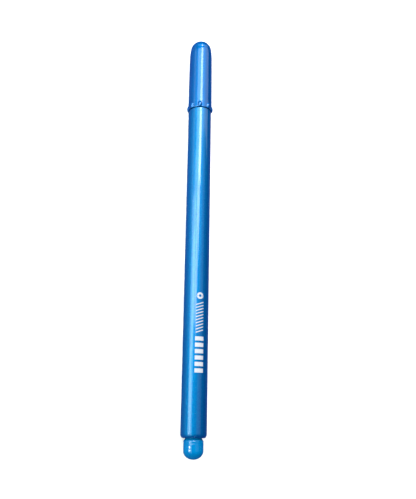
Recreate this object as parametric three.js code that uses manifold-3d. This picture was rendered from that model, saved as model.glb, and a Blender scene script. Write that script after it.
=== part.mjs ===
// Capped fineliner pen, lying down: millimetres, +Z up, its axis along Y and its cap towards +Y.
// Every piece is turned about the axis. Distances along the axis are counted from the barrel's tail edge
// while the pieces are made, and the finished pen is then set down with its origin under its middle.
import * as THREE from "three";
import Module from "manifold-3d";
import { mergeVertices } from "three/addons/utils/BufferGeometryUtils.js";

const wasm = await Module();
wasm.setup();

// Fits
const slideFit = 0.15; // radial play of the cap on the section's neck, and of the seal
const pressFit = 0.1; // radial gap drawn where one piece is pressed into another
const seatGap = 0.15; // gap drawn where one piece stops against another

// Barrel: a straight tube, with its tail edge rounded over
const barrelDiameter = 9;
const barrelLength = 124.8;
const barrelWall = 1;
const tailEdgeHeight = 1.8;
const tailEdgeLand = 0.08; // flat left between the rounding and the bore

// End plug: pressed into the tail, with a short waist and a domed head outside
const plugHeadStep = 0.075; // from the bore in to the head
const plugProud = 6.9;
const plugWaistDepth = 0.225;
const plugWaistLength = 0.7;
const plugSpigotLength = 9;
const plugCoreWall = 1.2; // wall left round the hollow in the back of the moulding
const plugCoreDepth = 7;

// Section: the front moulding that holds the nib and that the cap goes on to
const sectionSpigotLength = 10;
const neckLength = 9;
const snapBeadHeight = 0.08;
const snapBeadLength = 1.2;
const snapBeadOffset = 3; // from the neck's foot to the bead
const shoulderStep = 1.15; // from the neck in to the seal land
const shoulderLength = 1.2;
const sealLandLength = 4.6;
const coneLength = 6;
const noseWall = 0.45; // round the steel sleeve at the end of the cone

// Nib and its steel sleeve
const feedDiameter = 1.5;
const feedIntoReservoir = 8;
const tipDiameter = 0.56;
const tipProud = 0.8;
const sleeveWall = 0.22;
const sleeveLength = 5;
const sleeveProud = 2;

// Ink store: a fibre rod in a thin film sleeve
const filmRoom = 0.4; // radial room round the film in the barrel
const filmWall = 0.2;

// Cap: a round-ended sleeve with rounded lugs at its mouth
const capLength = 32.9;
const capProud = 0.2; // how far the cap's mouth stands out beyond the barrel
const capMouthWall = 0.8;
const capTaper = 0.15; // radius lost between the mouth and the shoulder
const capShoulderStep = 0.25; // radius lost over the shoulder, before the dome
const capShoulderLength = 2.7;
const capDomeWall = 0.9;
const mouthBevel = 0.4;
const seatStep = 0.05; // from the barrel's surface out to the flat under the lugs
const lugCount = 8;
const lugProud = 0.48; // beyond the cap's mouth
const lugWidth = 2.2;
const lugHalfLength = 1.55; // from the middle of a lug up to its end
const lugHeight = 0.95; // from the lug's tip down to its middle, inside the cap's wall
const lugSetback = 1.15; // from the cap's mouth to the middle of a lug

// Seal sleeve inside the cap
const linerWall = 0.8;
const linerLength = 9.6;
const linerSeatStep = 0.25; // length of the slopes at each end of its seat

// Radii that follow from those sizes
const barrelRadius = barrelDiameter / 2;
const boreRadius = barrelRadius - barrelWall;
const plugHeadRadius = boreRadius - plugHeadStep;
const mouthRadius = barrelRadius + capProud;
const neckBoreRadius = mouthRadius - capMouthWall;
const neckRadius = neckBoreRadius - slideFit;
const landRadius = neckRadius - shoulderStep;
const tipRadius = tipDiameter / 2;
const sleeveInner = tipRadius + pressFit;
const sleeveOuter = sleeveInner + sleeveWall;
const sleeveBore = sleeveOuter + pressFit;
const feedRadius = feedDiameter / 2;
const feedBore = feedRadius + pressFit;
const filmOuter = boreRadius - filmRoom;
const filmInner = filmOuter - filmWall;
const reservoirRadius = filmInner - pressFit;
const linerInner = landRadius + slideFit;
const linerOuter = linerInner + linerWall;
const linerBoreRadius = linerOuter + pressFit;
const capShoulderRadius = mouthRadius - capTaper;
const capDomeRadius = capShoulderRadius - capShoulderStep;

// Places along the axis that follow from those sizes
const reservoirBack = plugSpigotLength + seatGap;
const sectionBack = barrelLength - sectionSpigotLength;
const reservoirFront = sectionBack - seatGap;
const neckStart = barrelLength + seatGap;
const neckEnd = neckStart + neckLength;
const landStart = neckEnd + shoulderLength;
const coneStart = landStart + sealLandLength;
const noseEnd = coneStart + coneLength;
const sleeveEnd = noseEnd + sleeveProud;
const sleeveStart = sleeveEnd - sleeveLength;
const tipEnd = sleeveEnd + tipProud;
const capMouth = barrelLength + 2 * seatGap;
const capEnd = capMouth + capLength;
const capDomeCentre = capEnd - capDomeRadius;
const linerStart = landStart + seatGap;
const linerEnd = linerStart + linerLength;

const roundSides = 40;
const smallSides = 24;
const lugSides = 10;
const arcSteps = 3; // an elliptical arc is drawn in twice as many

// Turns a closed outline round the pen's axis; x is the radius and y the distance along the axis.
function turned(outline, sides = roundSides) {
  const geometry = new THREE.LatheGeometry(outline.getPoints(arcSteps), sides);
  geometry.deleteAttribute("normal");
  geometry.deleteAttribute("uv");
  return mergeVertices(geometry, 1e-5);
}

function solidOf(geometry) {
  return new wasm.Manifold(
    new wasm.Mesh({
      numProp: 3,
      vertProperties: new Float32Array(geometry.attributes.position.array),
      triVerts: new Uint32Array(geometry.index.array),
    })
  );
}

function geometryOf(solid) {
  const mesh = solid.getMesh();
  const geometry = new THREE.BufferGeometry();
  geometry.setAttribute("position", new THREE.BufferAttribute(mesh.vertProperties, 3));
  geometry.setIndex(new THREE.BufferAttribute(mesh.triVerts, 1));
  return geometry;
}

function piece(name, geometry, color, roughness, metalness) {
  geometry.computeVertexNormals();
  const mesh = new THREE.Mesh(geometry, new THREE.MeshStandardMaterial({ color, roughness, metalness }));
  mesh.name = name;
  return mesh;
}

// The straight body tube.
function barrelTube() {
  const edgeInner = boreRadius + tailEdgeLand;
  const outline = new THREE.Path();
  outline.moveTo(boreRadius, barrelLength);
  outline.lineTo(boreRadius, 0);
  outline.lineTo(edgeInner, 0);
  outline.absellipse(
    edgeInner, tailEdgeHeight, barrelRadius - edgeInner, tailEdgeHeight, -Math.PI / 2, 0, false
  );
  outline.lineTo(barrelRadius, barrelLength);
  outline.closePath();
  return piece("barrel_tube", turned(outline), 0x1069bd, 0.3, 0.6);
}

// The tail plug: a hollow spigot in the bore, a waist at the tail edge, and a domed head.
function endPlug() {
  const spigotRadius = boreRadius - pressFit;
  const waistRadius = plugHeadRadius - plugWaistDepth;
  const coreRadius = spigotRadius - plugCoreWall;
  const coreEnd = plugSpigotLength - plugCoreDepth;
  const outline = new THREE.Path();
  outline.moveTo(0, -plugProud);
  outline.absarc(0, plugHeadRadius - plugProud, plugHeadRadius, -Math.PI / 2, 0, false);
  outline.lineTo(plugHeadRadius, -2 * plugWaistLength);
  outline.lineTo(waistRadius, -plugWaistLength);
  outline.lineTo(waistRadius, plugWaistLength);
  outline.lineTo(spigotRadius, 2 * plugWaistLength);
  outline.lineTo(spigotRadius, plugSpigotLength);
  outline.lineTo(coreRadius, plugSpigotLength);
  outline.lineTo(coreRadius, coreEnd);
  outline.lineTo(0, coreEnd);
  return piece("end_plug", turned(outline), 0x028fdc, 0.22, 0);
}

// The front moulding, bored through for the nib: spigot, neck with its snap bead, seal land and cone.
function nibSection() {
  const spigotRadius = boreRadius - pressFit;
  const beadStart = neckStart + snapBeadOffset;
  const beadEnd = beadStart + snapBeadLength;
  const outline = new THREE.Path();
  outline.moveTo(feedBore, sectionBack);
  outline.lineTo(spigotRadius, sectionBack);
  outline.lineTo(spigotRadius, neckStart);
  outline.lineTo(neckRadius, neckStart);
  outline.lineTo(neckRadius, beadStart);
  outline.quadraticCurveTo(neckRadius + 2 * snapBeadHeight, (beadStart + beadEnd) / 2, neckRadius, beadEnd);
  outline.lineTo(neckRadius, neckEnd);
  outline.lineTo(landRadius, landStart);
  outline.lineTo(landRadius, coneStart);
  outline.lineTo(sleeveBore + noseWall, noseEnd);
  outline.lineTo(sleeveBore, noseEnd);
  outline.lineTo(sleeveBore, sleeveStart - seatGap);
  outline.lineTo(feedBore, sleeveStart - 2 * seatGap);
  outline.closePath();
  return piece("nib_section", turned(outline), 0x0489d6, 0.25, 0);
}

// The steel sleeve that guards the fine tip.
function nibSleeve() {
  const outline = new THREE.Path();
  outline.moveTo(sleeveInner, sleeveStart);
  outline.lineTo(sleeveOuter, sleeveStart);
  outline.lineTo(sleeveOuter, sleeveEnd - sleeveWall);
  outline.lineTo(sleeveInner + sleeveWall / 4, sleeveEnd);
  outline.lineTo(sleeveInner, sleeveEnd);
  outline.closePath();
  return piece("nib_sleeve", turned(outline, smallSides), 0xb8bdc2, 0.25, 1);
}

// The fibre nib: a thick feed running back into the ink store, and a fine rounded tip.
function fibreNib() {
  const feedEnd = sleeveStart - 2 * seatGap - feedRadius;
  const feedBack = reservoirFront - feedIntoReservoir;
  const outline = new THREE.Path();
  outline.moveTo(0, feedBack - feedRadius);
  outline.lineTo(feedRadius, feedBack);
  outline.lineTo(feedRadius, feedEnd);
  outline.lineTo(tipRadius, feedEnd + feedRadius);
  outline.lineTo(tipRadius, tipEnd - tipRadius);
  outline.absarc(0, tipEnd - tipRadius, tipRadius, 0, Math.PI / 2, false);
  return piece("nib", turned(outline, smallSides), 0x1c4f9e, 0.85, 0);
}

// The ink-soaked fibre rod, with the hole that the nib's feed is pushed into.
function reservoirCore() {
  const holeEnd = reservoirFront - feedIntoReservoir - feedRadius - seatGap;
  const outline = new THREE.Path();
  outline.moveTo(0, reservoirBack);
  outline.lineTo(reservoirRadius, reservoirBack);
  outline.lineTo(reservoirRadius, reservoirFront);
  outline.lineTo(feedBore, reservoirFront);
  outline.lineTo(feedBore, holeEnd);
  outline.lineTo(0, holeEnd);
  return piece("reservoir_core", turned(outline, smallSides), 0x2a5fb4, 0.95, 0);
}

// The thin plastic sleeve wrapped round the fibre rod.
function reservoirFilm() {
  const outline = new THREE.Path();
  outline.moveTo(filmInner, reservoirBack);
  outline.lineTo(filmOuter, reservoirBack);
  outline.lineTo(filmOuter, reservoirFront);
  outline.lineTo(filmInner, reservoirFront);
  outline.closePath();
  return piece("reservoir_film", turned(outline, smallSides), 0xdfe9f2, 0.3, 0);
}

// The seal sleeve pressed into the cap, which closes round the section's seal land.
function capLiner() {
  const leadIn = linerWall / 4;
  const outline = new THREE.Path();
  outline.moveTo(linerInner + leadIn, linerStart);
  outline.lineTo(linerOuter, linerStart);
  outline.lineTo(linerOuter, linerEnd);
  outline.lineTo(linerInner, linerEnd);
  outline.lineTo(linerInner, linerStart + leadIn);
  outline.closePath();
  return piece("cap_liner", turned(outline), 0xe3e9ee, 0.5, 0);
}

// The outside of the cap: a slight taper from the mouth up, then a shoulder and a domed end.
function capOutside() {
  const outline = new THREE.Path();
  outline.moveTo(0, capMouth);
  outline.lineTo(mouthRadius, capMouth);
  outline.lineTo(capShoulderRadius, capDomeCentre - capShoulderLength);
  outline.quadraticCurveTo(
    capShoulderRadius - capShoulderStep / 4, capDomeCentre - capShoulderLength / 3,
    capDomeRadius, capDomeCentre
  );
  outline.absarc(0, capDomeCentre, capDomeRadius, 0, Math.PI / 2, false);
  return turned(outline);
}

// The space inside the cap: a bevelled mouth, the bore for the neck, the seal sleeve's seat and a dome.
function capCavity() {
  const cavityRadius = capDomeRadius - capDomeWall;
  const seatRadius = barrelRadius + seatStep;
  const outline = new THREE.Path();
  outline.moveTo(0, capMouth - mouthBevel);
  outline.lineTo(seatRadius, capMouth - mouthBevel);
  outline.lineTo(seatRadius, capMouth);
  outline.lineTo(neckBoreRadius, capMouth + mouthBevel);
  outline.lineTo(neckBoreRadius, linerStart - 2 * linerSeatStep);
  outline.lineTo(linerBoreRadius, linerStart - linerSeatStep);
  outline.lineTo(linerBoreRadius, linerEnd + linerSeatStep);
  outline.lineTo(cavityRadius, capDomeCentre);
  outline.absarc(0, capDomeCentre, cavityRadius, 0, Math.PI / 2, false);
  return turned(outline);
}

// One rounded lug, flat underneath, reaching into the cap's wall.
function lug(angle) {
  const bottomAngle = -Math.asin(lugSetback / lugHalfLength);
  const outline = new THREE.Path();
  outline.moveTo(0, -lugSetback);
  outline.lineTo(Math.cos(bottomAngle), -lugSetback);
  outline.absellipse(0, 0, 1, lugHalfLength, bottomAngle, Math.PI / 2, false);
  const geometry = turned(outline, lugSides);
  geometry.scale(lugHeight, 1, lugWidth / 2);
  geometry.translate(mouthRadius + lugProud - lugHeight, capMouth + lugSetback, 0);
  return geometry.rotateY(angle);
}

function capShell() {
  let solid = solidOf(capOutside());
  for (let i = 0; i < lugCount; i++) {
    solid = solid.add(solidOf(lug(((i + 0.5) * 2 * Math.PI) / lugCount)));
  }
  return piece("cap_shell", geometryOf(solid.subtract(solidOf(capCavity()))), 0x1064be, 0.22, 0.6);
}

const pen = new THREE.Group();
pen.add(barrelTube(), endPlug(), nibSection(), nibSleeve(), fibreNib(), reservoirCore(), reservoirFilm());
pen.add(capShell(), capLiner());

const box = new THREE.Box3().setFromObject(pen);
pen.position.set(0, -(box.min.y + box.max.y) / 2, -box.min.z);

export default pen;
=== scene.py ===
from math import cos, pi, radians, sin
import bpy
import bmesh
from mathutils import Euler, Matrix, Vector


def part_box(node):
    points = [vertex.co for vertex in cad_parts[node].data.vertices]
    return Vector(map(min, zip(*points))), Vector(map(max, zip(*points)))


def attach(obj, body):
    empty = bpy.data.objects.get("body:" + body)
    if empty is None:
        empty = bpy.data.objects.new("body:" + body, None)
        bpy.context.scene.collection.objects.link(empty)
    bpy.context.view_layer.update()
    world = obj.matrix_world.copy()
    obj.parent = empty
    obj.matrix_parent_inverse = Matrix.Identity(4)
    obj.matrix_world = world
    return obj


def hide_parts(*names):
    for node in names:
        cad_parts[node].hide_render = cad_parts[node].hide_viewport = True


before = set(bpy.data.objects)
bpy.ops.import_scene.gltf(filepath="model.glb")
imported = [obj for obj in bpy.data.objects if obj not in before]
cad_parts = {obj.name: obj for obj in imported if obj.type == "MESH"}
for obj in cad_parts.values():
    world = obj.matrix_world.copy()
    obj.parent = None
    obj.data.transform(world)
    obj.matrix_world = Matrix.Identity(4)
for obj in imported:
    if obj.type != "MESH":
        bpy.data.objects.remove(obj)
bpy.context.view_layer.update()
print("frame loaded:", ", ".join(sorted(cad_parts)))

mm = 0.001
barrelLow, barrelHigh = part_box("barrel_tube")
tailEdge = barrelLow.y
axisHeight = (barrelLow.z + barrelHigh.z) / 2


def alongPen(y):
    # distance from the barrel's tail edge, in millimetres
    return (y - tailEdge) / mm


barrelRadius = barrelHigh.x / mm
barrelLength = alongPen(barrelHigh.y)
plugLow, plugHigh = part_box("end_plug")
sectionLow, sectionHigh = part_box("nib_section")
sleeveLow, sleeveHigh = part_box("nib_sleeve")
nibLow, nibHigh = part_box("nib")
linerLow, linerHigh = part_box("cap_liner")
capLow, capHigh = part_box("cap_shell")
coreLow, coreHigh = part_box("reservoir_core")
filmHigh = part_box("reservoir_film")[1]


# outlines are lists of (radius, distance along the pen) in millimetres, anticlockwise
def arcOf(middle, reach, start, end, steps=12):
    points = []
    for i in range(steps + 1):
        angle = radians(start + (end - start) * i / steps)
        points.append((middle[0] + reach[0] * cos(angle), middle[1] + reach[1] * sin(angle)))
    return points


def eased(corners, steps=4, longest=0.4, support=1.2):
    # a corner with a third number is rounded by that much, up to the longest share of a side
    points = []
    for i, corner in enumerate(corners):
        here = Vector(corner[:2])
        ease = corner[2] if len(corner) > 2 else 0
        if not ease:
            points.append(tuple(here))
            continue
        before = Vector(corners[i - 1][:2])
        after = Vector(corners[(i + 1) % len(corners)][:2])
        start = (before - here).normalized() * min(ease, (before - here).length * longest)
        end = (after - here).normalized() * min(ease, (after - here).length * longest)
        points.append(tuple(here + start * support))  # the support points keep the flats' shading flat
        for k in range(steps + 1):
            t = k / steps
            points.append(tuple(here + start * (1 - t) ** 2 + end * t**2))
        points.append(tuple(here + end * support))
    return points


def stepped(start, end, count):
    # points from start up to but not including end
    return [tuple(Vector(start).lerp(Vector(end), i / count)) for i in range(count)]


def newObject(name, data):
    made = bpy.data.objects.new(name, data)
    bpy.context.scene.collection.objects.link(made)
    return made


def turned(name, outline, sides, closed):
    # spins the outline round the pen's axis; an open one starts and ends on the axis
    mesh = bpy.data.meshes.new(name)
    build = bmesh.new()
    rings = []
    for radius, along in outline:
        y = tailEdge + along * mm
        if radius < 1e-6:  # on the axis
            rings.append([build.verts.new((0, y, axisHeight))] * sides)
            continue
        ring = []
        for i in range(sides):
            angle = 2 * pi * i / sides
            across = radius * mm * sin(angle)
            rise = radius * mm * cos(angle)
            ring.append(build.verts.new((across, y, axisHeight + rise)))
        rings.append(ring)
    pairs = list(zip(rings, rings[1:]))
    if closed:
        pairs.append((rings[-1], rings[0]))
    for lower, upper in pairs:
        for i in range(sides):
            k = (i + 1) % sides
            corners = []
            for vert in (lower[i], lower[k], upper[k], upper[i]):
                if vert not in corners:
                    corners.append(vert)
            if len(corners) > 2:
                build.faces.new(corners)
    bmesh.ops.recalc_face_normals(build, faces=build.faces)
    build.to_mesh(mesh)
    build.free()
    return newObject(name, mesh)


def fromTree(piece, tree, values):
    # runs a geometry nodes tree on the piece once and keeps the plain mesh
    modifier = piece.modifiers.new(tree.name, "NODES")
    modifier.node_group = tree
    for item in tree.interface.items_tree:
        if item.item_type == "SOCKET" and item.in_out == "INPUT" and item.name in values:
            modifier[item.identifier] = values[item.name]
    bpy.context.view_layer.update()
    graph = bpy.context.evaluated_depsgraph_get()
    mesh = bpy.data.meshes.new_from_object(piece.evaluated_get(graph))
    piece.modifiers.clear()
    piece.data = mesh


def finishPiece(piece, body, material, nodes=(), sharpAngle=40):
    piece.data.materials.clear()
    piece.data.materials.append(material)
    piece.data.shade_smooth()
    piece.data.set_sharp_from_angle(angle=radians(sharpAngle))
    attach(piece, body)
    if nodes:
        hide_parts(*nodes)
    print("made", piece.name, len(piece.data.polygons), "faces")


# small helpers for node trees: a socket given as an input is linked, any other value is set
def addNode(tree, kind, inputs=None, **settings):
    node = tree.nodes.new(kind)
    for name, value in settings.items():
        setattr(node, name, value)
    for key, value in (inputs or {}).items():
        if isinstance(value, bpy.types.NodeSocket):
            tree.links.new(value, node.inputs[key])
        else:
            node.inputs[key].default_value = value
    return node


def math(tree, operation, first, second=None, third=None):
    inputs = {0: first}
    if second is not None:
        inputs[1] = second
    if third is not None:
        inputs[2] = third
    return addNode(tree, "ShaderNodeMath", inputs, operation=operation).outputs[0]


def addSockets(tree, way, sockets):
    kinds = {
        "geometry": "NodeSocketGeometry",
        "number": "NodeSocketFloat",
        "count": "NodeSocketInt",
        "vector": "NodeSocketVector",
    }
    for name, kind, *start in sockets:
        socket = tree.interface.new_socket(name=name, in_out=way, socket_type=kinds[kind])
        if start:
            socket.default_value = start[0]


def newGroup(name, inputs, outputs, kind="ShaderNodeTree"):
    tree = bpy.data.node_groups.new(name, kind)
    addSockets(tree, "INPUT", inputs)
    addSockets(tree, "OUTPUT", outputs)
    given = tree.nodes.new("NodeGroupInput").outputs
    wanted = tree.nodes.new("NodeGroupOutput").inputs
    return tree, given, wanted


def vectorMath(tree, operation, inputs):
    return addNode(tree, "ShaderNodeVectorMath", inputs, operation=operation).outputs[0]


def objectPoint(tree, scale):
    # object coordinates in metres times scale
    place = addNode(tree, "ShaderNodeTexCoord").outputs["Object"]
    return vectorMath(tree, "SCALE", {0: place, "Scale": scale})


def drawnPoint(tree, stretch):
    # object coordinates times one number for each axis, for marks that run along the pen
    place = addNode(tree, "ShaderNodeTexCoord").outputs["Object"]
    return vectorMath(tree, "MULTIPLY", {0: place, 1: stretch})


def sizedPoint(tree, size):
    # object coordinates that grow by one over each size, which is in millimetres
    return objectPoint(tree, math(tree, "DIVIDE", 1000.0, size))


def noiseAt(tree, point, detail):
    noise = addNode(tree, "ShaderNodeTexNoise", {"Vector": point, "Scale": 1.0, "Detail": detail})
    return noise.outputs[0]


def cellsAt(tree, point):
    return addNode(tree, "ShaderNodeTexVoronoi", {"Vector": point, "Scale": 1.0}).outputs


def mapped(tree, value, low, high, start=0.0, stop=1.0):
    # start to stop becomes low to high
    inputs = {0: value, 1: start, 2: stop, 3: low, 4: high}
    return addNode(tree, "ShaderNodeMapRange", inputs, clamp=True).outputs[0]


# lacquer flakes: a random brightness and a small random tilt for each flake
def buildFlakes():
    tree, given, wanted = newGroup(
        "lacquerFlakes",
        [("Flake Size", "number", 0.1), ("Tilt", "number", 0.1)],
        [("Shade", "number"), ("Normal", "vector")],
    )
    cells = cellsAt(tree, sizedPoint(tree, given["Flake Size"]))
    shade = addNode(tree, "ShaderNodeSeparateColor", {0: cells["Color"]})
    tree.links.new(shade.outputs[0], wanted["Shade"])
    centred = vectorMath(tree, "SUBTRACT", {0: cells["Color"], 1: (0.5, 0.5, 0.5)})  # both ways from zero
    lean = vectorMath(tree, "SCALE", {0: centred, "Scale": given["Tilt"]})
    surface = addNode(tree, "ShaderNodeNewGeometry").outputs["Normal"]
    leaning = vectorMath(tree, "ADD", {0: surface, 1: lean})
    tree.links.new(vectorMath(tree, "NORMALIZE", {0: leaning}), wanted["Normal"])
    return tree


handlingLook = {
    "patchDetail": 4.0,
    "patchFrom": 0.35,  # noise below this is clean
    "patchTo": 0.7,
    "lineStretch": (9000.0, 350.0, 9000.0),  # per metre, so the lines run along the pen
    "lineDetail": 2.0,
    "lineFrom": 0.62,
    "lineTo": 0.8,
}


# soft patches left by fingers, and hairlines left by handling
def buildHandling(look):
    tree, given, wanted = newGroup(
        "handlingMarks",
        [("Patch Size", "number", 6.0), ("Contrast", "number", 1.0)],
        [("Patches", "number"), ("Hairlines", "number")],
    )
    patches = noiseAt(tree, sizedPoint(tree, given["Patch Size"]), look["patchDetail"])
    spread = mapped(tree, patches, 0.0, given["Contrast"], look["patchFrom"], look["patchTo"])
    tree.links.new(spread, wanted["Patches"])
    lines = noiseAt(tree, drawnPoint(tree, look["lineStretch"]), look["lineDetail"])
    thin = mapped(tree, lines, 0.0, 1.0, look["lineFrom"], look["lineTo"])
    tree.links.new(thin, wanted["Hairlines"])
    return tree


rubAndHighlightLook = {"patches": 2400.0, "detail": 5.0, "contrast": 6.0}  # patches per metre


# paint rubbed thin in a broken band round the pen, such as at an edge that gets knocked; the lighter band
# is also a painted highlight along that edge
def buildEdgeRubAndHighlight(look):
    tree, given, wanted = newGroup(
        "edgeRubAndHighlight",
        [("Edge Along", "number", 0.0), ("Width", "number", 0.3), ("Break Up", "number", 0.5)],
        [("Rubbed And Highlit", "number")],
    )
    place = addNode(tree, "ShaderNodeTexCoord").outputs["Object"]
    along = addNode(tree, "ShaderNodeSeparateXYZ", {0: place}).outputs[1]
    away = math(tree, "ABSOLUTE", math(tree, "SUBTRACT", along, given["Edge Along"]))
    near = math(tree, "DIVIDE", away, math(tree, "MULTIPLY", given["Width"], mm))
    band = math(tree, "MAXIMUM", math(tree, "SUBTRACT", 1.0, near), 0.0)
    noise = noiseAt(tree, objectPoint(tree, look["patches"]), look["detail"])
    broken = math(tree, "SUBTRACT", noise, given["Break Up"])
    rubbedAndHighlit = math(tree, "MULTIPLY", band, math(tree, "MULTIPLY", broken, look["contrast"]))
    tree.links.new(addNode(tree, "ShaderNodeClamp", {0: rubbedAndHighlit}).outputs[0], wanted["Rubbed And Highlit"])
    return tree


grainLook = {"detail": 3.0, "specks": 1100.0, "speckSize": 0.085}  # specks per metre, size as a share


# fine dust and the grain that a mould leaves
def buildGrain(look):
    tree, given, wanted = newGroup(
        "mouldGrain",
        [("Grain Size", "number", 0.2), ("Dust", "number", 0.0)],
        [("Height", "number"), ("Dust", "number")],
    )
    grain = noiseAt(tree, sizedPoint(tree, given["Grain Size"]), look["detail"])
    tree.links.new(grain, wanted["Height"])
    specks = cellsAt(tree, objectPoint(tree, look["specks"]))
    small = math(tree, "LESS_THAN", specks["Distance"], look["speckSize"])
    tree.links.new(math(tree, "MULTIPLY", small, given["Dust"]), wanted["Dust"])
    return tree


flakes = buildFlakes()
handling = buildHandling(handlingLook)
edgeRubAndHighlight = buildEdgeRubAndHighlight(rubAndHighlightLook)
mouldGrain = buildGrain(grainLook)
print("shared node groups built")


def newMaterial(name, settings):
    material = bpy.data.materials.new(name)
    material.use_nodes = True
    tree = material.node_tree
    shader = tree.nodes["Principled BSDF"]
    for socket, value in settings.items():
        shader.inputs[socket].default_value = value
    return material, tree, shader


def useGroup(tree, group, values):
    node = tree.nodes.new("ShaderNodeGroup")
    node.node_tree = group
    for name, value in values.items():
        node.inputs[name].default_value = value
    return node.outputs


def mixColour(tree, share, first, second):
    node = tree.nodes.new("ShaderNodeMix")
    node.data_type = "RGBA"
    for key, value in ((0, share), (6, first), (7, second)):
        if isinstance(value, bpy.types.NodeSocket):
            tree.links.new(value, node.inputs[key])
        else:
            node.inputs[key].default_value = value
    return node.outputs[2]


def addBump(tree, shader, height, strength, depth):
    bump = addNode(tree, "ShaderNodeBump", {"Strength": strength, "Distance": depth * mm, "Height": height})
    tree.links.new(bump.outputs[0], shader.inputs["Normal"])


def paint(tree, shader, share, look):
    # colour and roughness go from the first value to the second as share goes from 0 to 1
    first, second = look["colours"]
    colour = mixColour(tree, share, (*first, 1), (*second, 1))
    tree.links.new(colour, shader.inputs["Base Color"])
    tree.links.new(mapped(tree, share, *look["roughness"]), shader.inputs["Roughness"])


# metallic blue lacquer under a clear coat, used on the body and, glossier, on the cap
def lacquer(name, look):
    material, tree, shader = newMaterial(
        name,
        {
            "Metallic": look["metallic"],
            "Specular Tint": (*look["edgeTint"], 1),
            "Coat Weight": look["coat"],
            "Coat Roughness": look["coatRoughness"],
            "Coat IOR": look["coatIor"],
        },
    )
    flake = useGroup(tree, flakes, {"Flake Size": look["flakeSize"], "Tilt": look["flakeTilt"]})
    marks = useGroup(tree, handling, {"Patch Size": look["patchSize"], "Contrast": 1.0})
    colour = mixColour(tree, flake["Shade"], (*look["deep"], 1), (*look["bright"], 1))
    # a lighter broken band at the tail edge and at the cap's mouth: worn paint and a painted edge highlight
    for edge in look["rubbedAndHighlitEdges"]:
        values = {"Edge Along": edge, "Width": look["rubAndHighlightWidth"], "Break Up": look["rubAndHighlightBreak"]}
        rubAndHighlight = useGroup(tree, edgeRubAndHighlight, values)
        colour = mixColour(tree, rubAndHighlight["Rubbed And Highlit"], colour, (*look["rubAndHighlightColour"], 1))
    dust = useGroup(tree, mouldGrain, {"Dust": look["dust"]})
    colour = mixColour(tree, dust["Dust"], colour, (*look["dustColour"], 1))
    tree.links.new(colour, shader.inputs["Base Color"])
    rough = mapped(tree, marks["Patches"], look["roughness"], look["roughness"] + look["smudge"])
    rough = math(tree, "ADD", rough, math(tree, "MULTIPLY", marks["Hairlines"], look["hairline"]))
    tree.links.new(rough, shader.inputs["Roughness"])
    tree.links.new(flake["Normal"], shader.inputs["Normal"])
    return material


bodyLook = {
    "deep": (0.0005, 0.11, 0.32),
    "bright": (0.002, 0.229, 0.468),
    "edgeTint": (0.05, 0.2, 0.6),
    "metallic": 0.9,
    "roughness": 0.55,
    "smudge": 0.06,
    "hairline": 0.12,
    "coat": 1.0,
    "coatRoughness": 0.08,
    "coatIor": 1.5,
    "patchSize": 9.0,
    "flakeSize": 0.11,
    "flakeTilt": 0.16,
    # where the worn paint and painted edge highlight go
    "rubbedAndHighlitEdges": [tailEdge + 0.3 * mm],
    "rubAndHighlightColour": (0.25, 0.5, 0.8),
    "rubAndHighlightWidth": 0.35,
    "rubAndHighlightBreak": 0.56,
    "dust": 0.22,
    "dustColour": (0.6, 0.68, 0.75),
}
capLook = dict(bodyLook)
capLook.update(
    {
        "deep": (0.0003, 0.09, 0.3),
        "bright": (0.001, 0.18, 0.45),
        "roughness": 0.54,
        "coatRoughness": 0.05,
        "flakeSize": 0.09,
        "flakeTilt": 0.1,
        "rubbedAndHighlitEdges": [capLow.y + 0.1 * mm],
    }
)
bodyLacquer = lacquer("bodyLacquer", bodyLook)
capLacquer = lacquer("capLacquer", capLook)


# glossy moulded plastic in the ink's colour: plug and section
plasticLook = {
    "colour": (0.0, 0.13, 0.33),
    "shadeColour": (0.0, 0.118, 0.31),
    "roughness": 0.015,
    "smudge": 0.02,
    "patchSize": 3.0,
    "grain": 0.003,
    "grainSize": 0.25,
    "grainDepth": 0.05,
    "dust": 0.25,
    "dustColour": (0.6, 0.75, 0.85),
    "glow": 0.12,
    "glowRadius": (0.2, 0.6, 1.0),
    "glowScale": 0.8,
    "ior": 1.49,
}


def buildAzurePlastic(look):
    material, tree, shader = newMaterial(
        "azurePlastic",
        {
            "IOR": look["ior"],
            "Subsurface Weight": look["glow"],
            "Subsurface Radius": look["glowRadius"],
            "Subsurface Scale": look["glowScale"] * mm,
        },
    )
    marks = useGroup(tree, handling, {"Patch Size": look["patchSize"], "Contrast": 1.0})
    grain = useGroup(tree, mouldGrain, {"Grain Size": look["grainSize"], "Dust": look["dust"]})
    colour = mixColour(tree, marks["Patches"], (*look["colour"], 1), (*look["shadeColour"], 1))
    colour = mixColour(tree, grain["Dust"], colour, (*look["dustColour"], 1))
    tree.links.new(colour, shader.inputs["Base Color"])
    rough = mapped(tree, marks["Patches"], look["roughness"], look["roughness"] + look["smudge"])
    tree.links.new(rough, shader.inputs["Roughness"])
    addBump(tree, shader, grain["Height"], look["grain"], look["grainDepth"])
    return material


azurePlastic = buildAzurePlastic(plasticLook)


# a finish whose colour and gloss follow one of the handling marks
def handledFinish(name, look):
    material, tree, shader = newMaterial(name, look["shader"])
    marks = useGroup(tree, handling, {"Patch Size": look["patchSize"], "Contrast": 1.0})
    paint(tree, shader, marks[look["mark"]], look)
    return material


# waxy natural polyethylene of the seal sleeve
sealLook = {
    "mark": "Patches",
    "patchSize": 2.0,
    "colours": [(0.78, 0.81, 0.84), (0.66, 0.71, 0.78)],
    "roughness": [0.35, 0.5],
    "shader": {
        "IOR": 1.51,
        "Subsurface Weight": 0.5,
        "Subsurface Radius": (1.0, 0.9, 0.8),
        "Subsurface Scale": mm,
    },
}
sealPlastic = handledFinish("sealPlastic", sealLook)


# drawn stainless tube, with draw lines along it
steelLook = {
    "mark": "Hairlines",
    "patchSize": 1.0,
    "colours": [(0.62, 0.64, 0.66), (0.42, 0.44, 0.47)],
    "roughness": [0.2, 0.42],
    "shader": {"Metallic": 1.0},
}
drawnSteel = handledFinish("drawnSteel", steelLook)


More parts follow.
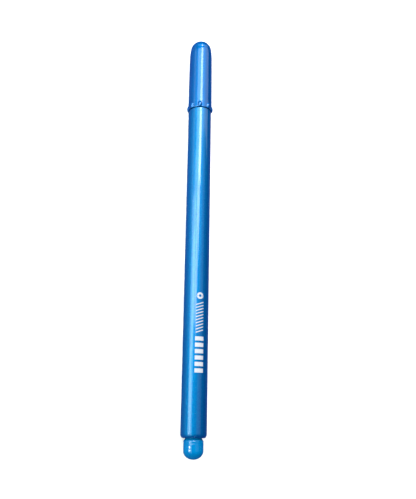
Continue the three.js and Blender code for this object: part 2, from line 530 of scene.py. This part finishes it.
# thin wrapped film round the ink store
filmLook = {
    "mark": "Patches",
    "patchSize": 4.0,
    "colours": [(0.5, 0.62, 0.8), (0.38, 0.5, 0.74)],
    "roughness": [0.12, 0.3],
    "shader": {"IOR": 1.49, "Specular IOR Level": 0.6},
}
wrappedFilm = handledFinish("wrappedFilm", filmLook)


nibLook = {
    "colours": [(0.004, 0.03, 0.16), (0.02, 0.1, 0.36)],
    "roughness": [0.95, 0.75],
    "strands": (16000.0, 900.0, 16000.0),  # per metre
    "detail": 3.0,
    "bump": 0.5,
    "bumpDepth": 0.03,
    "shader": {"Sheen Weight": 0.2, "Sheen Roughness": 0.5},
}
rodLook = dict(nibLook)
rodLook["colours"] = [(0.01, 0.06, 0.26), (0.05, 0.17, 0.5)]


# fibre soaked in blue ink, with the fibres lying along the pen
def buildFibre(name, look):
    material, tree, shader = newMaterial(name, look["shader"])
    strands = noiseAt(tree, drawnPoint(tree, look["strands"]), look["detail"])
    paint(tree, shader, strands, look)
    addBump(tree, shader, strands, look["bump"], look["bumpDepth"])
    return material


nibFibre = buildFibre("nibFibre", nibLook)
inkFibre = buildFibre("inkFibre", rodLook)


printLook = {
    "colours": [(0.33, 0.345, 0.39), (0.39, 0.4, 0.44)],
    "roughness": [0.42, 0.3],
    "grainSize": 0.35,
    "bump": 0.25,
    "bumpDepth": 0.02,
    "shader": {"IOR": 1.48},
}


# white printing ink, a little thin in places
def buildPrintInk(look):
    material, tree, shader = newMaterial("printInk", look["shader"])
    grain = useGroup(tree, mouldGrain, {"Grain Size": look["grainSize"]})
    paint(tree, shader, grain["Height"], look)
    addBump(tree, shader, grain["Height"], look["bump"], look["bumpDepth"])
    return material


printInk = buildPrintInk(printLook)
print("materials built")


barrelMake = {
    "wall": 1.0,
    "tailEdgeHeight": 1.35,
    "tailEdgeLand": 0.08,
    "frontEase": 0.12,
    "boreEase": 0.15,
    "sides": 192,
}


def makeBarrel(make):
    bore = barrelRadius - make["wall"]
    land = bore + make["tailEdgeLand"]
    edge = make["tailEdgeHeight"]
    outline = [(bore, barrelLength - 2), (bore, 3), (bore, make["boreEase"])]
    outline += [(bore + 0.02, 0.03), (land, 0)]
    outline += arcOf((land, edge), (barrelRadius - land, edge), -85, 0, 16)
    outline.append((barrelRadius, edge + 0.1))  # keeps the shading of the flat above it flat
    outline += stepped((barrelRadius, 6), (barrelRadius, barrelLength - 1), 12)  # rows up the long flat
    outline += eased(
        [
            (barrelRadius, barrelLength - 1),
            (barrelRadius, barrelLength, make["frontEase"]),
            (bore, barrelLength, make["frontEase"]),
            (bore, barrelLength - 1),
        ]
    )
    piece = turned("bodyTube", outline, make["sides"], closed=True)
    finishPiece(piece, "pen", bodyLacquer, ["barrel_tube"])


plugMake = {
    "domeHeight": 2.8,
    "waist": 0.55,
    "waistStart": -0.25,
    "waistLength": 0.7,
    "waistSlope": 0.6,
    "seamAt": -1.75,
    "seamDepth": 0.06,
    "seamWidth": 0.22,
    "seamEase": 0.1,
    "spigotStep": 0.025,
    "coreWall": 1.2,
    "coreDepth": 7.0,
    "sides": 144,
}


def makePlug(make):
    head = plugHigh.x / mm
    spigot = head - make["spigotStep"]
    waist = head - make["waist"]
    collar = head - 0.4 * make["seamDepth"]
    end = alongPen(plugLow.y)
    back = alongPen(plugHigh.y)
    core = spigot - make["coreWall"]
    dome = make["domeHeight"]
    outline = arcOf((0, end + dome), (head, dome), -90, 0, 28)
    outline[0] = (0, end)
    outline += eased(
        [
            (head, end + dome + 0.05),
            (head, make["seamAt"] - make["seamWidth"], make["seamEase"]),
            (head - make["seamDepth"], make["seamAt"], 0.06),
            (collar, make["seamAt"] + make["seamWidth"], make["seamEase"]),
            (collar, make["waistStart"] - make["waistSlope"], 0.3),
            (waist, make["waistStart"], 0.2),
            (waist, make["waistLength"], 0.3),
            (spigot, 2 * make["waistLength"], 0.3),
            (spigot, back, 0.2),
            (core, back, 0.2),
            (core, back - make["coreDepth"], 0.4),
            (0, back - make["coreDepth"]),
        ]
    )
    piece = turned("tailPlug", outline, make["sides"], closed=False)
    finishPiece(piece, "pen", azurePlastic, ["end_plug"])


sectionMake = {
    "spigotRadius": 3.4,
    "neckRadius": 3.75,
    "neckLength": 9.0,
    "neckGap": 0.15,
    "beadAt": 3.6,
    "beadHeight": 0.08,
    "beadHalf": 0.6,
    "shoulderStep": 1.15,
    "shoulderLength": 1.2,
    "landLength": 4.6,
    "noseWall": 0.45,
    "noseSlope": 0.3,
    "sleeveRoom": 0.1,
    "sleeveGap": 0.15,
    "feedBore": 0.85,
    "sides": 120,
}


def makeSection(make):
    back = alongPen(sectionLow.y)
    front = alongPen(sectionHigh.y)
    foot = barrelLength + make["neckGap"]
    neckEnd = foot + make["neckLength"]
    landStart = neckEnd + make["shoulderLength"]
    land = make["neckRadius"] - make["shoulderStep"]
    sleeveBore = sleeveHigh.x / mm + make["sleeveRoom"]
    sleeveSeat = alongPen(sleeveLow.y) - make["sleeveGap"]
    bead = foot + make["beadAt"]
    nose = sleeveBore + make["noseWall"]
    outline = eased(
        [
            (make["feedBore"], back),
            (make["spigotRadius"], back, 0.3),
            (make["spigotRadius"], foot),
            (make["neckRadius"], foot, 0.1),
            (make["neckRadius"], bead - make["beadHalf"], 0.2),
            (make["neckRadius"] + 1.4 * make["beadHeight"], bead, 0.5),  # easing takes off the rest
            (make["neckRadius"], bead + make["beadHalf"], 0.2),
            (make["neckRadius"], neckEnd, 0.5),
            (land, landStart, 0.4),
            (land, landStart + make["landLength"], 0.8),
            (nose, front - make["noseSlope"], 0.2),
            (nose - 0.1, front, 0.15),
            (sleeveBore, front, 0.06),
            (sleeveBore, sleeveSeat),
            (make["feedBore"], sleeveSeat - 0.15),
        ]
    )
    piece = turned("frontSection", outline, make["sides"], closed=True)
    finishPiece(piece, "pen", azurePlastic, ["nib_section"])


nibMake = {"tipRadius": 0.28, "shoulder": 0.75, "shoulderGap": 0.3, "sides": 64}


def makeNib(make):
    feed = nibHigh.x / mm
    back = alongPen(nibLow.y)
    tip = alongPen(nibHigh.y)
    radius = make["tipRadius"]
    shoulder = alongPen(sleeveLow.y) - make["shoulderGap"]
    outline = [(0, back)]
    outline += eased(
        [
            (0, back),
            (feed, back, 0.2),
            (feed, shoulder - make["shoulder"], 0.2),
            (radius, shoulder, 0.2),
            (radius, tip - 2 * radius),
        ]
    )[1:]
    outline += arcOf((0, tip - radius), (radius, radius), 0, 90, 10)
    outline[-1] = (0, tip)
    piece = turned("fibreNib", outline, make["sides"], closed=False)
    finishPiece(piece, "pen", nibFibre, ["nib"])


sleeveMake = {"wall": 0.22, "taper": 0.08, "taperLength": 0.25, "sides": 64}


def makeSleeve(make):
    outer = sleeveHigh.x / mm
    inner = outer - make["wall"]
    back = alongPen(sleeveLow.y)
    end = alongPen(sleeveHigh.y)
    outline = eased(
        [
            (inner, back),
            (outer, back, 0.05),
            (outer, end - make["taperLength"], 0.2),
            (inner + make["taper"], end, 0.06),
            (inner, end, 0.04),
        ]
    )
    piece = turned("tipSleeve", outline, make["sides"], closed=True)
    finishPiece(piece, "pen", drawnSteel, ["nib_sleeve"])


storeMake = {"holeRadius": 0.85, "holeDepth": 8.9, "filmWall": 0.2, "sides": 72}


def makeInkStore(make):
    radius = coreHigh.x / mm
    back = alongPen(coreLow.y)
    front = alongPen(coreHigh.y)
    outline = eased(
        [
            (0, back),
            (radius, back, 0.3),
            (radius, front, 0.3),
            (make["holeRadius"], front, 0.1),
            (make["holeRadius"], front - make["holeDepth"], 0.2),
            (0, front - make["holeDepth"]),
        ]
    )
    core = turned("inkRod", outline, make["sides"], closed=False)
    finishPiece(core, "pen", inkFibre, ["reservoir_core"])
    outer = filmHigh.x / mm
    inner = outer - make["filmWall"]
    film = turned(
        "rodWrap",
        eased([(inner, back), (outer, back, 0.06), (outer, front, 0.06), (inner, front)]),
        make["sides"],
        closed=True,
    )
    finishPiece(film, "pen", wrappedFilm, ["reservoir_film"])


linerMake = {"wall": 0.8, "leadIn": 0.35, "sides": 96}


def makeLiner(make):
    outer = linerHigh.x / mm
    inner = outer - make["wall"]
    start = alongPen(linerLow.y)
    end = alongPen(linerHigh.y)
    outline = eased(
        [
            (inner + make["leadIn"], start, 0.1),
            (outer, start, 0.15),
            (outer, end, 0.15),
            (inner, end, 0.15),
            (inner, start + make["leadIn"], 0.15),
        ]
    )
    piece = turned("sealSleeve", outline, make["sides"], closed=True)
    finishPiece(piece, "cap", sealPlastic, ["cap_liner"])


capMake = {
    "mouthRadius": 4.7,
    "seatRadius": 4.55,
    "mouthWall": 0.8,
    "mouthBevel": 0.4,
    "mouthEase": 0.2,
    "shoulderRadius": 4.55,
    "shoulderLength": 2.7,
    "domeRadius": 4.3,
    "domeWall": 0.9,
    "linerRoom": 0.1,
    "linerGap": 0.25,
    "boreStart": 1.2,
    "lugZone": 3.2,  # closer rows here, so the lugs come out round
    "sides": 384,
}

lugMake = {
    "Lug Count": 8,
    "Tip Radius": 5.18 * mm,
    "Lug Height": 0.95 * mm,
    "Half Width": 1.0 * mm,
    "Half Length": 1.55 * mm,
    "Set Back": 1.15 * mm,
    "Blend": 0.12 * mm,
    "Inner Limit": 4.6 * mm,
}


def vector(tree, x, y, z):
    return addNode(tree, "ShaderNodeCombineXYZ", {0: x, 1: y, 2: z}).outputs[0]


def pointAxes(tree):
    place = addNode(tree, "GeometryNodeInputPosition").outputs[0]
    return addNode(tree, "ShaderNodeSeparateXYZ", {0: place}).outputs


def endTree(tree, geometry, material, wanted):
    # instances are made real before the material goes on, because the export drops them
    solid = addNode(tree, "GeometryNodeRealizeInstances", {0: geometry})
    painted = addNode(tree, "GeometryNodeSetMaterial", {"Geometry": solid.outputs[0], "Material": material})
    tree.links.new(painted.outputs[0], wanted[0])


# pushes rounded lugs out of a turned wall, evenly round the pen's axis
def buildLugTree(material):
    numbers = ["Tip Radius", "Lug Height", "Half Width", "Half Length", "Set Back", "Blend"]
    numbers += ["Mouth Along", "Axis Height", "Inner Limit"]
    tree, given, wanted = newGroup(
        "lugRing",
        [("Geometry", "geometry"), ("Lug Count", "count", 8)] + [(name, "number", 0.0) for name in numbers],
        [("Geometry", "geometry")],
        kind="GeometryNodeTree",
    )
    across, along, height = pointAxes(tree)
    rise = math(tree, "SUBTRACT", height, given["Axis Height"])
    squares = math(tree, "MULTIPLY_ADD", rise, rise, math(tree, "MULTIPLY", across, across))
    radius = math(tree, "SQRT", squares)
    turn = math(tree, "ARCTAN2", across, rise)
    pitch = math(tree, "DIVIDE", 2 * pi, given["Lug Count"])
    share = math(tree, "SUBTRACT", math(tree, "FRACT", math(tree, "DIVIDE", turn, pitch)), 0.5)
    offAngle = math(tree, "MULTIPLY", share, pitch)
    aside = math(tree, "MULTIPLY", given["Tip Radius"], math(tree, "SINE", offAngle))
    sideways = math(tree, "DIVIDE", aside, given["Half Width"])
    middle = math(tree, "ADD", given["Mouth Along"], given["Set Back"])
    lengthways = math(tree, "DIVIDE", math(tree, "SUBTRACT", along, middle), given["Half Length"])
    spread = math(tree, "MULTIPLY_ADD", sideways, sideways, math(tree, "MULTIPLY", lengthways, lengthways))
    dome = math(tree, "SQRT", math(tree, "MAXIMUM", math(tree, "SUBTRACT", 1.0, spread), 0.0))
    middleRadius = math(tree, "SUBTRACT", given["Tip Radius"], given["Lug Height"])
    lugRadius = math(tree, "MULTIPLY_ADD", dome, given["Lug Height"], middleRadius)
    lugRadius = math(tree, "DIVIDE", lugRadius, math(tree, "COSINE", offAngle))
    lugRadius = math(tree, "MULTIPLY", lugRadius, math(tree, "GREATER_THAN", dome, 0.0))
    joined = math(tree, "SMOOTH_MAX", radius, lugRadius, given["Blend"])
    grow = math(tree, "DIVIDE", joined, radius)
    newHeight = math(tree, "MULTIPLY_ADD", rise, grow, given["Axis Height"])
    newPlace = vector(tree, math(tree, "MULTIPLY", across, grow), along, newHeight)
    outside = addNode(
        tree, "FunctionNodeCompare", {0: radius, 1: given["Inner Limit"]}, operation="GREATER_THAN"
    )
    moved = addNode(
        tree,
        "GeometryNodeSetPosition",
        {"Geometry": given["Geometry"], "Selection": outside.outputs[0], "Position": newPlace},
    )
    endTree(tree, moved.outputs[0], material, wanted)
    return tree


def makeCap(make, lugs):
    mouth = alongPen(capLow.y)
    end = alongPen(capHigh.y)
    domeMiddle = end - make["domeRadius"]
    shoulder = domeMiddle - make["shoulderLength"]
    bore = make["mouthRadius"] - make["mouthWall"]
    seat = linerHigh.x / mm + make["linerRoom"]
    linerStart = alongPen(linerLow.y)
    linerEnd = alongPen(linerHigh.y)
    cavity = make["domeRadius"] - make["domeWall"]

    def onWall(y):
        share = (y - mouth) / (shoulder - mouth)
        return (make["mouthRadius"] + (make["shoulderRadius"] - make["mouthRadius"]) * share, y)

    lipTop = mouth + make["mouthEase"]
    lugTop = mouth + make["lugZone"]
    lip = (make["mouthRadius"] - make["seatRadius"], make["mouthEase"])
    outline = arcOf((make["seatRadius"], lipTop), lip, -90, -5, 7)
    outline += stepped(onWall(lipTop), onWall(lugTop), 36)
    outline += stepped(onWall(lugTop), (make["shoulderRadius"], shoulder), 8)
    for i in range(10):
        t = i / 10
        bulge = make["shoulderRadius"] - (make["shoulderRadius"] - make["domeRadius"]) * t**2
        outline.append((bulge, shoulder + make["shoulderLength"] * t))
    outline += arcOf((0, domeMiddle), (make["domeRadius"], make["domeRadius"]), 0, 90, 28)
    outline[-1] = (0, end)
    outline.append((0, domeMiddle + cavity))
    outline += arcOf((0, domeMiddle), (cavity, cavity), 86, 0, 14)
    outline += [
        (seat, linerEnd + make["linerGap"]),
        (seat, linerStart - make["linerGap"]),
        (bore, linerStart - 2 * make["linerGap"]),
        (bore, mouth + make["boreStart"]),
        (bore, mouth + make["mouthBevel"]),
    ]
    piece = turned("capSleeve", outline, make["sides"], closed=True)
    values = dict(lugs)
    values.update({"Mouth Along": capLow.y, "Axis Height": axisHeight})
    fromTree(piece, buildLugTree(capLacquer), values)
    finishPiece(piece, "cap", capLacquer, ["cap_shell"])


# the printed mark: a ring, a run of fine slanted ticks and a row of solid bars, wrapped on the body
markMake = {
    "Film": 0.024 * mm,
    "Middle Angle": radians(-4.4),
    "Mark Width": 3.1 * mm,
    "Ring Along": 48.4 * mm,
    "Ring Radius": 0.85 * mm,
    "Ring Line": 0.7 * mm,
    "Tick Count": 10,
    "Tick Start": 35.7 * mm,
    "Tick Pitch": 1.1 * mm,
    "Tick Line": 0.36 * mm,
    "Tick Reach": 2.7 * mm,
    "Tick Slant": 0.36,
    "Bar Count": 6,
    "Bar Start": 22.1 * mm,
    "Bar Pitch": 2.2 * mm,
    "Bar Length": 1.4 * mm,
}


def buildMarkTree(material):
    numbers = ["Film", "Middle Angle", "Mark Width", "Ring Along", "Ring Radius", "Ring Line"]
    numbers += ["Tick Start", "Tick Pitch", "Tick Line", "Tick Reach", "Tick Slant"]
    numbers += ["Bar Start", "Bar Pitch", "Bar Length", "Radius", "Axis Height", "Tail Edge"]
    counts = [("Tick Count", "count", 10), ("Bar Count", "count", 6)]
    tree, given, wanted = newGroup(
        "printedMark",
        [("Geometry", "geometry")] + counts + [(name, "number", 0.0) for name in numbers],
        [("Geometry", "geometry")],
        kind="GeometryNodeTree",
    )

    def block(length, width, rows):
        size = vector(tree, given[length], given[width], given["Film"])
        sizes = {"Size": size, "Vertices X": 17, "Vertices Y": rows}
        return addNode(tree, "GeometryNodeMeshCube", sizes).outputs[0]

    def row(kind, shape):
        start = vector(tree, 0.0, given[kind + " Start"], 0.0)
        step = vector(tree, 0.0, given[kind + " Pitch"], 0.0)
        steps = {"Count": given[kind + " Count"], "Start Location": start, "Offset": step}
        line = addNode(tree, "GeometryNodeMeshLine", steps).outputs[0]
        placed = addNode(tree, "GeometryNodeInstanceOnPoints", {"Points": line, "Instance": shape})
        return addNode(tree, "GeometryNodeRealizeInstances", {0: placed.outputs[0]}).outputs[0]

    bars = row("Bar", block("Mark Width", "Bar Length", 5))
    tick = block("Tick Reach", "Tick Line", 2)
    lean = vector(tree, 0.0, math(tree, "MULTIPLY", pointAxes(tree)[0], given["Tick Slant"]), 0.0)
    leaning = addNode(tree, "GeometryNodeSetPosition", {"Geometry": tick, "Offset": lean})
    ticks = row("Tick", leaning.outputs[0])
    sizes = {"Resolution": 56, "Radius": given["Ring Radius"]}
    circle = addNode(tree, "GeometryNodeCurvePrimitiveCircle", sizes)
    sizes = {"Width": given["Ring Line"], "Height": given["Film"]}
    outline = addNode(tree, "GeometryNodeCurvePrimitiveQuadrilateral", sizes)
    ring = addNode(tree, "GeometryNodeCurveToMesh", {0: circle.outputs[0], 1: outline.outputs[0]})
    away = vector(tree, 0.0, given["Ring Along"], 0.0)
    shifted = addNode(tree, "GeometryNodeTransform", {"Geometry": ring.outputs[0], "Translation": away})
    joined = tree.nodes.new("GeometryNodeJoinGeometry")
    for part in (bars, ticks, shifted.outputs[0]):
        tree.links.new(part, joined.inputs[0])
    across, along, lift = pointAxes(tree)
    angle = math(tree, "ADD", math(tree, "DIVIDE", across, given["Radius"]), given["Middle Angle"])
    reach = math(tree, "ADD", given["Radius"], lift)
    wrapped = vector(
        tree,
        math(tree, "MULTIPLY", reach, math(tree, "SINE", angle)),
        math(tree, "ADD", along, given["Tail Edge"]),
        math(tree, "MULTIPLY_ADD", reach, math(tree, "COSINE", angle), given["Axis Height"]),
    )
    bent = addNode(tree, "GeometryNodeSetPosition", {"Geometry": joined.outputs[0], "Position": wrapped})
    endTree(tree, bent.outputs[0], material, wanted)
    return tree


def makeMark(make):
    piece = newObject("printedMark", bpy.data.meshes.new("printedMark"))
    values = dict(make)
    values.update({"Radius": barrelHigh.x, "Axis Height": axisHeight, "Tail Edge": tailEdge})
    fromTree(piece, buildMarkTree(printInk), values)
    build = bmesh.new()
    build.from_mesh(piece.data)
    bmesh.ops.remove_doubles(build, verts=build.verts, dist=1e-7)
    bmesh.ops.recalc_face_normals(build, faces=build.faces)
    build.to_mesh(piece.data)
    build.free()
    finishPiece(piece, "pen", printInk, sharpAngle=50)


makeBarrel(barrelMake)
makePlug(plugMake)
makeSection(sectionMake)
makeNib(nibMake)
makeSleeve(sleeveMake)
makeInkStore(storeMake)
makeLiner(linerMake)
makeCap(capMake, lugMake)
makeMark(markMake)
print("pieces made")


stageMake = {
    "floorSize": 10.0,
    "floorColour": (0.93, 0.935, 0.945),
    # the floor's colour for all rays but the camera's: painted shade for the pen
    "floorReflectedShade": (0.02, 0.07, 0.26),
    "floorRoughness": 0.7,
    "floorGloss": 0.2,
    "patchSize": 60.0,
    "patchContrast": 0.3,
    "patchShade": 0.985,
    "world": 1.0,
    "worldColour": (1.0, 1.0, 1.0),
    "worldMirrored": (0.005, 0.055, 0.32),
}


def makeFloor(make):
    half = make["floorSize"] / 2
    mesh = bpy.data.meshes.new("floor")
    corners = [(-half, -half, 0), (half, -half, 0), (half, half, 0), (-half, half, 0)]
    mesh.from_pydata(corners, [], [(0, 1, 2, 3)])
    floor = newObject("floor", mesh)
    finish = {"Roughness": make["floorRoughness"], "Specular IOR Level": make["floorGloss"]}
    material, tree, shader = newMaterial("paleFloor", finish)
    marks = useGroup(tree, handling, {"Patch Size": make["patchSize"], "Contrast": make["patchContrast"]})
    dimmer = tuple(make["patchShade"] * value for value in make["floorColour"])
    colour = mixColour(tree, marks["Patches"], (*make["floorColour"], 1), (*dimmer, 1))
    seen = addNode(tree, "ShaderNodeLightPath").outputs["Is Camera Ray"]
    colour = mixColour(tree, seen, (*make["floorReflectedShade"], 1), colour)  # other rays see a dark blue floor, which paints shade and a blue reflection onto the pen's sides
    tree.links.new(colour, shader.inputs["Base Color"])
    mesh.materials.append(material)


def makeWorld(make):
    world = bpy.data.worlds.new("softRoom")
    world.use_nodes = True
    sky = world.node_tree.nodes["Background"]
    mirrored = addNode(world.node_tree, "ShaderNodeLightPath").outputs["Is Glossy Ray"]
    bright = tuple(make["world"] * value for value in make["worldColour"])
    colour = mixColour(world.node_tree, mirrored, (*bright, 1), (*make["worldMirrored"], 1))
    world.node_tree.links.new(colour, sky.inputs["Color"])
    bpy.context.scene.world = world


# angle is measured round the pen's axis from straight up towards +X, along is the frame's Y in metres
leftTint = (0.92, 1.12, 0.94)  # very slightly green
lightMake = {
    "keyCore": {
        "angle": -10, "along": 0.34, "distance": 0.36, "lean": -8,
        "wide": 0.127, "long": 0.32, "watts": 1.57,
    },
    "keyMid": {
        "angle": -16.5, "along": 0.15, "distance": 0.36, "lean": -25,
        "wide": 0.114, "long": 0.07, "watts": 0.11,
    },
    "keyLow": {
        "angle": -21.5, "along": 0.15, "distance": 0.36, "lean": -25,
        "wide": 0.14, "long": 0.26, "watts": 0.457,
    },
    "keyWide": {
        "angle": -37.5, "along": 0.24, "distance": 0.36, "lean": 0,
        "wide": 0.166, "long": 0.42, "watts": 0.702,
    },
    "leftDim": {
        "angle": -68.5, "along": 0.22, "distance": 0.4, "lean": 0,
        "wide": 0.323, "long": 0.4, "watts": 0.142,
    },
    "leftHigh": {
        "angle": -84.5, "along": 0.35, "distance": 0.45, "lean": 0,
        "wide": 0.191, "long": 0.4, "watts": 0.12,
    },
    "leftFade": {
        "angle": -55.5, "along": 0.14, "distance": 0.3, "lean": 0,
        "wide": 0.0843, "long": 0.08, "watts": 0.0318, "colour": leftTint,
    },
    "leftCore": {
        "angle": -56.5, "along": 0.045, "distance": 0.3, "lean": 0,
        "wide": 0.095, "long": 0.11, "watts": 0.108, "colour": leftTint,
    },
    "leftTail": {
        "angle": -60.9, "along": -0.045, "distance": 0.3, "lean": -25,
        "wide": 0.106, "long": 0.068, "watts": 0.0814, "colour": leftTint,
    },
    "leftWide": {
        "angle": -59.5, "along": -0.04, "distance": 0.3, "lean": 0,
        "wide": 0.195, "long": 0.36, "watts": 0.573, "colour": leftTint,
    },
    "plugGlintHigh": {
        "angle": -67.5, "along": -0.08285, "distance": 0.3, "lean": 0,
        "wide": 0.0737, "long": 0.0011, "watts": 0.014,
    },
    "plugGlintLow": {
        "angle": -67.5, "along": -0.08595, "distance": 0.3, "lean": 0,
        "wide": 0.0737, "long": 0.0012, "watts": 0.0153,
    },
    "rightFill": {
        "angle": 29.5, "along": 0.52, "distance": 0.5, "lean": 0,
        "wide": 0.675, "long": 0.4, "watts": 1.19,
    },
    "rightDim": {
        "angle": 19.5, "along": 0.1, "distance": 0.5, "lean": 0,
        "wide": 0.364, "long": 0.5, "watts": 0.229,
    },
}


def makeLight(name, make):
    data = bpy.data.lights.new(name, "AREA")
    data.shape = "RECTANGLE"
    data.size = make["wide"]
    data.size_y = make["long"]
    data.energy = make["watts"]
    data.color = make.get("colour", (1, 1, 1))
    light = newObject(name, data)
    turn = Matrix.Rotation(radians(make["angle"]), 4, "Y") @ Matrix.Rotation(radians(make["lean"]), 4, "Z")
    place = Vector((0, 0, axisHeight)) + turn @ Vector((0, 0, make["distance"]))
    place.y = make["along"]
    light.matrix_world = Matrix.Translation(place) @ turn


makeFloor(stageMake)
makeWorld(stageMake)
for lightName, lightValues in lightMake.items():
    makeLight(lightName, lightValues)
print("stage and lights made")


cameraMake = {
    "lens": 42.35,
    "sensor": 36,
    "distance": 0.2086,
    "shiftAlong": 0.00023,
    "turn": -22.5,
    "tilt": 17.75,
    "pan": -1.347,
    "lean": 0.75,
}


def makeCamera(make):
    data = bpy.data.cameras.new("camera")
    data.lens = make["lens"]
    data.sensor_width = make["sensor"]
    camera = newObject("camera", data)
    turn = Matrix.Rotation(radians(make["turn"]), 4, "Y")
    angles = (radians(make["tilt"]), radians(make["pan"]), radians(make["lean"]))
    aim = Euler(angles, "XYZ").to_matrix().to_4x4()
    place = Vector((0, tailEdge + make["shiftAlong"], axisHeight)) + turn @ Vector((0, 0, make["distance"]))
    camera.matrix_world = Matrix.Translation(place) @ turn @ aim
    bpy.context.scene.camera = camera


makeCamera(cameraMake)
bpy.context.scene.view_settings.view_transform = "Standard"
print("camera set")
